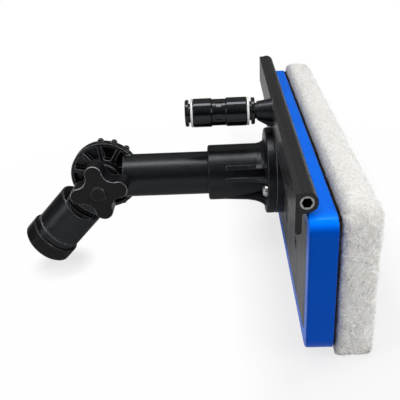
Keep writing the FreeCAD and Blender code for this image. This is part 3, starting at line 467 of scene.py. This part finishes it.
# Painted shade: the bar's end faces darker.
painted_shade_along(bar_anodised, BAR_END - 0.4 * MM, BAR_END + 0.2 * MM, (0.004, 0.004, 0.005))
steel_bright = brushed(
    "steel_bright", ((0.50, 0.50, 0.50), (0.72, 0.72, 0.71)), 0.20, 0.34, ALL_WAYS, 2400.0, Metallic=1.0
)
screw_black = brushed(
    "screw_black", ((0.004, 0.004, 0.004), (0.010, 0.010, 0.010)), 0.40, 0.55, ALL_WAYS, 2600.0, Metallic=0.2
)
plug_steel = brushed(
    "plug_steel", ((0.30, 0.295, 0.29), (0.46, 0.455, 0.445)), 0.22, 0.34, ALONG_Y, 2400.0, Metallic=1.0
)
# Painted shade: the plugs dark inside their holes, past a bright front ring.
painted_shade_along(plug_steel, BAR_END - 0.3 * MM, BAR_END - 1.2 * MM, (0.004, 0.004, 0.004))
insert_brass = brushed(
    "insert_brass", ((0.55, 0.38, 0.14), (0.72, 0.52, 0.22)), 0.25, 0.38, ALONG_Y, 2400.0, Metallic=1.0
)
seal_rubber = moulded(
    "seal_rubber", ((0.010, 0.010, 0.010), (0.016, 0.016, 0.016)), (0.024, 0.024, 0.024), 0.60, 0.75, 2000.0, 0.05 * MM
)
# The third tone of each fibre is its painted shade near the board.
pad_white = fibre(
    "pad_white", ((0.92, 0.912, 0.888), (0.86, 0.85, 0.825)), (0.56, 0.545, 0.52),
    PAD_BACK - 1.0 * MM, PAD_BACK + 5.0 * MM, soil=0.50, Roughness=0.95, Specular_IOR_Level=0.05,
    Subsurface_Weight=0.8, Subsurface_Scale=1.0 * MM, Subsurface_Radius=FIBRE_GLOW,
)
pad_core = fibre(
    "pad_core", ((0.76, 0.75, 0.725), (0.54, 0.53, 0.505)), (0.36, 0.345, 0.32),
    PAD_BACK - 0.5 * MM, PAD_BACK + 4.5 * MM, soil=0.80, Roughness=1.0, Specular_IOR_Level=0.05,
    Subsurface_Weight=0.6, Subsurface_Scale=6.0 * MM, Subsurface_Radius=FIBRE_GLOW,
)
hook_dark = fibre(
    "hook_dark", ((0.060, 0.046, 0.034), (0.018, 0.013, 0.009)), (0.012, 0.009, 0.006),
    BOARD_THICK - 1.0 * MM, BOARD_THICK + 1.0 * MM, Roughness=0.8, Specular_IOR_Level=0.1,
)

for finish, names in (
    (board_blue, ["backing_board"]),
    (plate_dark, ["back_plate"]),
    (bar_anodised, ["water_bar"]),
    (plug_steel, ["bar_plugs"]),
    (screw_black, ["plate_screws", "bar_screws"]),
    (steel_bright, ["flange_screws", "joint_bolt", "knob_washer"]),
    (insert_brass, ["knob_insert"]),
    (seal_rubber, ["inlet_seal", "friction_disc", "connector_o_rings"]),
    (black_moulded, ["inlet_fitting", "base_disc", "spigot_tube", "pole_socket"]),
    (black_socket, ["head_socket"]),
    (black_collar, ["pole_collar", "knob_cap"]),
    (black_knob, ["star_knob"]),
    (coupling_black, ["connector_body", "outer_collet", "inner_collet"]),
    (coupling_white, ["outer_cap", "inner_cap"]),
):
    for name in names:
        dress(nodes[name], finish)


# Fibres: one strand is modelled, bent a few ways, and strewn over a surface.
def strand(name, radius, length, rises, sway):
    """A thin three-sided strand along X that rises and falls by the given heights."""
    clear_selection()
    count = len(rises)
    bpy.ops.mesh.primitive_circle_add(
        vertices=3, radius=radius, fill_type="NGON", location=(-length / 2, 0.0, rises[0]),
        rotation=(0.0, math.pi / 2, 0.0),
    )
    piece = bpy.context.object
    piece.name = name
    bpy.ops.object.transform_apply(location=True, rotation=True, scale=True)
    bpy.ops.object.mode_set(mode="EDIT")
    bpy.ops.mesh.select_all(action="SELECT")
    for i in range(1, count):
        step = (length / (count - 1), sway[i] - sway[i - 1], rises[i] - rises[i - 1])
        bpy.ops.mesh.extrude_region_move(TRANSFORM_OT_translate={"value": step})
    bpy.ops.mesh.select_all(action="SELECT")
    bpy.ops.mesh.normals_make_consistent(inside=False)
    bpy.ops.object.mode_set(mode="OBJECT")
    return piece


# Four bends of a strand, in millimetres: how it rises, and how it sways sideways.
BENDS = (
    ((-0.35, 0.20, 0.40, 0.15, -0.35), (0.0, 0.55, 0.30, -0.35, -0.70)),
    ((-0.30, 0.35, 0.45, 0.10, -0.35), (0.0, -0.60, -0.95, -0.60, 0.10)),
    ((-0.40, 0.05, 0.45, 0.70, 0.75), (0.0, 0.40, 0.10, 0.65, 1.30)),
    ((-0.25, 0.30, 0.60, 0.50, 0.10), (0.0, -0.45, 0.15, 0.85, 0.70)),
)


def strand_set(label, radius, lengths):
    """The bends of one strand, each with its length in millimetres, kept together to be picked from."""
    shelf = bpy.data.collections.new(label)
    bpy.context.scene.collection.children.link(shelf)
    for i, (length, (rises, sway)) in enumerate(zip(lengths, BENDS)):
        piece = strand(
            "%s_%d" % (label, i), radius, length * MM, [r * MM for r in rises], [w * MM for w in sway]
        )
        for old in list(piece.users_collection):
            old.objects.unlink(piece)
        shelf.objects.link(piece)
    return shelf


def strew(name, carrier, shelf, density, seed, along, low, high, tilt, sizes, behind=-1.0, under=-1.0, both_ways=False):
    """Strew strands where a carrier's normals lean on a direction, in front of one plane and above another."""
    clear_selection()
    piece = carrier.copy()
    piece.data = carrier.data.copy()
    piece.name = name
    piece.data.name = name
    bpy.context.scene.collection.objects.link(piece)
    tree = bpy.data.node_groups.new(name, "GeometryNodeTree")
    tree.interface.new_socket(name="Geometry", in_out="INPUT", socket_type="NodeSocketGeometry")
    tree.interface.new_socket(name="Geometry", in_out="OUTPUT", socket_type="NodeSocketGeometry")
    entry = tree.nodes.new("NodeGroupInput")
    leave = tree.nodes.new("NodeGroupOutput")
    points = add(tree, "GeometryNodeDistributePointsOnFaces", Density=density, Seed=seed)
    tree.links.new(entry.outputs["Geometry"], points.inputs["Mesh"])
    normal = tree.nodes.new("GeometryNodeInputNormal").outputs["Normal"]
    facing = vector_value(tree, "DOT_PRODUCT", normal, along)
    if both_ways:
        facing = math_node(tree, "ABSOLUTE", facing)
    spot = split_axes(tree, tree.nodes.new("GeometryNodeInputPosition").outputs[0])
    chosen = math_node(tree, "LESS_THAN", facing, high)
    for value, least in ((facing, low), (spot["X"], behind), (spot["Z"], under)):
        chosen = math_node(tree, "MULTIPLY", chosen, math_node(tree, "GREATER_THAN", value, least))
    tree.links.new(chosen, points.inputs["Selection"])
    spin = tree.nodes.new("FunctionNodeRandomValue")
    spin.data_type = "FLOAT_VECTOR"
    spin.inputs["Min"].default_value = (-tilt, -tilt, 0.0)
    spin.inputs["Max"].default_value = (tilt, tilt, 2 * math.pi)
    spin.inputs["Seed"].default_value = seed + 1
    euler = tree.nodes.new("FunctionNodeEulerToRotation")
    tree.links.new(spin.outputs["Value"], euler.inputs["Euler"])
    turned = tree.nodes.new("FunctionNodeRotateRotation")
    turned.rotation_space = "LOCAL"
    tree.links.new(points.outputs["Rotation"], turned.inputs["Rotation"])
    tree.links.new(euler.outputs["Rotation"], turned.inputs["Rotate By"])
    grow = tree.nodes.new("FunctionNodeRandomValue")
    grow.data_type = "FLOAT"
    grow.inputs[2].default_value, grow.inputs[3].default_value = sizes
    grow.inputs["Seed"].default_value = seed + 2
    pick = tree.nodes.new("GeometryNodeCollectionInfo")
    pick.inputs["Collection"].default_value = shelf
    pick.inputs["Separate Children"].default_value = True
    pick.inputs["Reset Children"].default_value = True
    placed = tree.nodes.new("GeometryNodeInstanceOnPoints")
    placed.inputs["Pick Instance"].default_value = True
    tree.links.new(points.outputs["Points"], placed.inputs["Points"])
    tree.links.new(pick.outputs["Instances"], placed.inputs["Instance"])
    tree.links.new(turned.outputs["Rotation"], placed.inputs["Rotation"])
    tree.links.new(grow.outputs[1], placed.inputs["Scale"])
    real = tree.nodes.new("GeometryNodeRealizeInstances")
    tree.links.new(placed.outputs["Instances"], real.inputs["Geometry"])
    tree.links.new(real.outputs["Geometry"], leave.inputs["Geometry"])
    modifier = piece.modifiers.new("strands", "NODES")
    modifier.node_group = tree
    apply_modifiers(piece)
    return piece


def clear_shelf(shelf):
    for piece in list(shelf.objects):
        bpy.data.objects.remove(piece)
    bpy.data.collections.remove(shelf)


# Scrub pad: a thick felted slab with rounded edges, uneven all over, under a coat of loose strands.
# Its rounded shape is what three slabs share, each with the edges rounded that run one way.
SKIN = 0.5 * MM
PAD_DEEP = (PAD_BACK + PAD_FRONT) / 2
pad = slab(
    "scrub_pad_felt",
    (PAD_BACK + 0.35 * MM, -PAD_LEN / 2 - SKIN, PAD_MID - PAD_HIGH / 2 + SKIN),
    (PAD_FRONT - SKIN, PAD_LEN / 2 + SKIN, PAD_MID + PAD_HIGH / 2 - SKIN),
)
end_view = pad.copy()
plan_view = pad.copy()
for view in (end_view, plan_view):
    view.data = pad.data.copy()
    bpy.context.scene.collection.objects.link(view)
for shape, width, segments, test in (
    (pad, 8.6, 8, lambda a, b: abs(a.x - b.x) > 5 * MM and a.z > 0 and a.y < 0),
    (pad, 5.0, 6, lambda a, b: abs(a.x - b.x) > 5 * MM and a.z > 0 and min(a.y, b.y) > 100 * MM),
    (pad, 2.2, 4, lambda a, b: abs(a.x - b.x) > 5 * MM and a.z < 0),
    (end_view, 9.2, 8, lambda a, b: abs(a.y - b.y) > 50 * MM and a.z > 0 and a.x > PAD_DEEP),
    (end_view, 5.6, 6, lambda a, b: abs(a.y - b.y) > 50 * MM and a.z > 0 and a.x < PAD_DEEP),
    (end_view, 2.2, 4, lambda a, b: abs(a.y - b.y) > 50 * MM and a.z < 0),
    (plan_view, 6.6, 7, lambda a, b: abs(a.z - b.z) > 50 * MM and a.x > PAD_DEEP),
    (plan_view, 1.0, 4, lambda a, b: abs(a.z - b.z) > 50 * MM and a.x < PAD_DEEP),
):
    bevel_edges(shape, width * MM, segments, test)
for view in (end_view, plan_view):
    shared = pad.modifiers.new("shared", "BOOLEAN")
    shared.operation = "INTERSECT"
    shared.object = view
apply_modifiers(pad)
for view in (end_view, plan_view):
    bpy.data.objects.remove(view)
remesh = pad.modifiers.new("felt", "REMESH")
remesh.mode = "VOXEL"
remesh.voxel_size = 1.3 * MM
apply_modifiers(pad)
cloudy(pad, "pad_lumps", 9.0 * MM, 0.8 * MM)
cloudy(pad, "pad_tufts", 1.6 * MM, 0.55 * MM)
apply_modifiers(pad)
make_active(pad)
bpy.ops.object.shade_smooth()

FACE = (1.0, 0.0, 0.0)
BACK = (-1.0, 0.0, 0.0)
ENDS = (0.0, 1.0, 0.0)
TOP = (0.0, 0.0, 1.0)
PAD_FOOT = PAD_MID - PAD_HIGH / 2 + 2.0 * MM
ABOVE_BOARD = 38.4 * MM
pad_strands = strand_set("pad_strand", 0.12 * MM, (4.2, 5.4, 3.2, 4.6))
end_strands = strand_set("end_strand", 0.13 * MM, (3.4, 4.6, 2.6, 4.0))
top_strands = strand_set("top_strand", 0.10 * MM, (1.9, 2.4, 1.5, 2.1))
coats = [
    strew(
        "pad_strands_face", pad, pad_strands, 300000.0, 11, FACE, 0.45, 1.1, 0.25, (0.8, 1.3), under=PAD_FOOT,
    ),
    strew(
        "pad_strands_top", pad, top_strands, 1000000.0, 23, TOP, 0.40, 1.1, 0.30, (0.6, 1.1),
        behind=PAD_BACK + 0.3 * MM,
    ),
    strew(
        "pad_strands_back", pad, top_strands, 1000000.0, 29, BACK, 0.40, 1.1, 0.30, (0.6, 1.1), under=ABOVE_BOARD,
    ),
    strew(
        "pad_strands_ends", pad, end_strands, 620000.0, 37, ENDS, 0.45, 0.999999, 0.35, (0.7, 1.2),
        behind=PAD_BACK + 1.9 * MM, under=PAD_FOOT, both_ways=True,
    ),
]
for shelf in (pad_strands, end_strands, top_strands):
    clear_shelf(shelf)
for piece in [pad] + coats:
    settle(piece)
    dress(piece, pad_core if piece is pad else pad_white)
    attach(piece, "head")
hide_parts("scrub_pad")

# Hook sheet: a thin dark backing with a ragged fringe of hooks round its edge.
HOOK_LEN = 253.2 * MM
HOOK_HIGH = 72.4 * MM
hooks = slab(
    "hook_backing",
    (BOARD_THICK + 0.02 * MM, -HOOK_LEN / 2, -HOOK_HIGH / 2),
    (PAD_BACK + 0.2 * MM, HOOK_LEN / 2, HOOK_HIGH / 2),
)
bevel_edges(hooks, 3.0 * MM, 4, lambda a, b: abs(a.x - b.x) > 1.0 * MM)
hook_strands = strand_set("hook_strand", 0.13 * MM, (1.0, 1.3, 0.8, 1.1))
fringe = strew("hook_fringe", hooks, hook_strands, 3500000.0, 51, FACE, -0.2, 0.2, 0.9, (0.6, 1.1))
clear_shelf(hook_strands)
for piece in (hooks, fringe):
    settle(piece)
    dress(piece, hook_dark)
    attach(piece, "head")
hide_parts("hook_sheet")


def white_to_camera(tree, leave, plain, white, share=1.0):
    """Show the camera a share of white in place of a plain shader, which all other light still meets."""
    seen = tree.nodes.new("ShaderNodeLightPath").outputs["Is Camera Ray"]
    item = tree.nodes.new("ShaderNodeMixShader")
    tree.links.new(math_node(tree, "MULTIPLY", seen, share), item.inputs[0])
    tree.links.new(plain.outputs[0], item.inputs[1])
    tree.links.new(white.outputs[0], item.inputs[2])
    tree.links.new(item.outputs[0], leave.inputs["Surface"])


# Floor: white to the camera, least so along the pad and round the collar, which paints shade there where the tool's
# real shadow also shows.
PAD_LINE = 0.090
COLLAR_SPOT = (-0.085, -0.010, 0.0)
clear_selection()
bpy.ops.mesh.primitive_plane_add(size=40.0, location=(0.0, 0.0, 0.0))
floor = bpy.context.object
floor.name = "floor"
floor_finish = bpy.data.materials.new("floor_white")
floor_finish.use_nodes = True
tree = floor_finish.node_tree
tree.nodes.clear()
matte = add(tree, "ShaderNodeBsdfDiffuse", Color=tone(0.52, 0.52, 0.52))
glow = add(tree, "ShaderNodeEmission", Color=tone(1.0, 1.0, 1.0), Strength=1.0)
place = object_place(tree)
from_pad = math_node(tree, "ABSOLUTE", math_node(tree, "SUBTRACT", split_axes(tree, place)["X"], PAD_LINE))
from_collar = vector_value(tree, "DISTANCE", place, COLLAR_SPOT)
# Painted shade: the white share drops in spots along the pad and round the collar.
near_tool = math_node(
    tree, "MINIMUM", ramp(tree, from_pad, 0.02, 0.06, 0.68, 0.985), ramp(tree, from_collar, 0.006, 0.024, 0.60, 0.99)
)
away = ramp(tree, vector_value(tree, "LENGTH", place), 0.14, 0.26, 0.74, 1.0)
floor_out = tree.nodes.new("ShaderNodeOutputMaterial")
white_to_camera(tree, floor_out, matte, glow, math_node(tree, "MAXIMUM", near_tool, away))
floor.data.materials.append(floor_finish)

# Soft box overhead, one on each side in front, and a dim room that is brighter above.
LAMP_AIM = Vector((0.0, 0.0, 0.04))
for spot, wide, high, power in (
    ((0.02, -0.06, 1.05), 1.00, 0.27, 6.0),
    ((-0.85, -0.62, 0.62), 0.50, 0.70, 5.8),
    ((0.95, -0.62, 0.55), 0.50, 0.70, 11.2),
):
    bpy.ops.object.light_add(type="AREA", location=spot)
    lamp = bpy.context.object
    lamp.data.shape = "RECTANGLE"
    lamp.data.size = wide
    lamp.data.size_y = high
    lamp.data.energy = power
    lamp.rotation_euler = (LAMP_AIM - lamp.location).to_track_quat("-Z", "Y").to_euler()

world = bpy.data.worlds.new("studio")
bpy.context.scene.world = world
world.use_nodes = True
tree = world.node_tree
tree.nodes.clear()
direction = tree.nodes.new("ShaderNodeTexCoord").outputs["Generated"]
room = add(tree, "ShaderNodeBackground", Color=tone(1.0, 1.0, 1.0))
tree.links.new(ramp(tree, split_axes(tree, direction)["Z"], 0.30, 0.90, 0.07, 0.42), room.inputs["Strength"])
white = add(tree, "ShaderNodeBackground", Color=tone(1.0, 1.0, 1.0), Strength=1.0)
white_to_camera(tree, tree.nodes.new("ShaderNodeOutputWorld"), room, white)

# Camera, placed in the tool's frame at the photograph's viewing angle.
CAMERA_SPOT = (-36.595 * MM, -372.303 * MM, 171.623 * MM)
CAMERA_YAW = -0.047795
CAMERA_PITCH = 0.464671
CAMERA_ROLL = -0.056825
forward = Vector((
    math.sin(CAMERA_YAW) * math.cos(CAMERA_PITCH),
    math.cos(CAMERA_YAW) * math.cos(CAMERA_PITCH),
    -math.sin(CAMERA_PITCH),
))
level = Vector((math.cos(CAMERA_YAW), -math.sin(CAMERA_YAW), 0.0))
upward = level.cross(forward)
right = math.cos(CAMERA_ROLL) * level + math.sin(CAMERA_ROLL) * upward
top = math.cos(CAMERA_ROLL) * upward - math.sin(CAMERA_ROLL) * level
aim = Matrix((right, top, -forward)).transposed().to_4x4()
aim.translation = Vector(CAMERA_SPOT)
camera_data = bpy.data.cameras.new("camera")
camera = bpy.data.objects.new("camera", camera_data)
bpy.context.scene.collection.objects.link(camera)
camera.matrix_world = tool @ aim
camera_data.sensor_width = 36.0
camera_data.lens = 55.543
camera_data.clip_start = 0.01
bpy.context.scene.camera = camera
bpy.context.scene.view_settings.view_transform = "Standard"

bpy.context.view_layer.update()
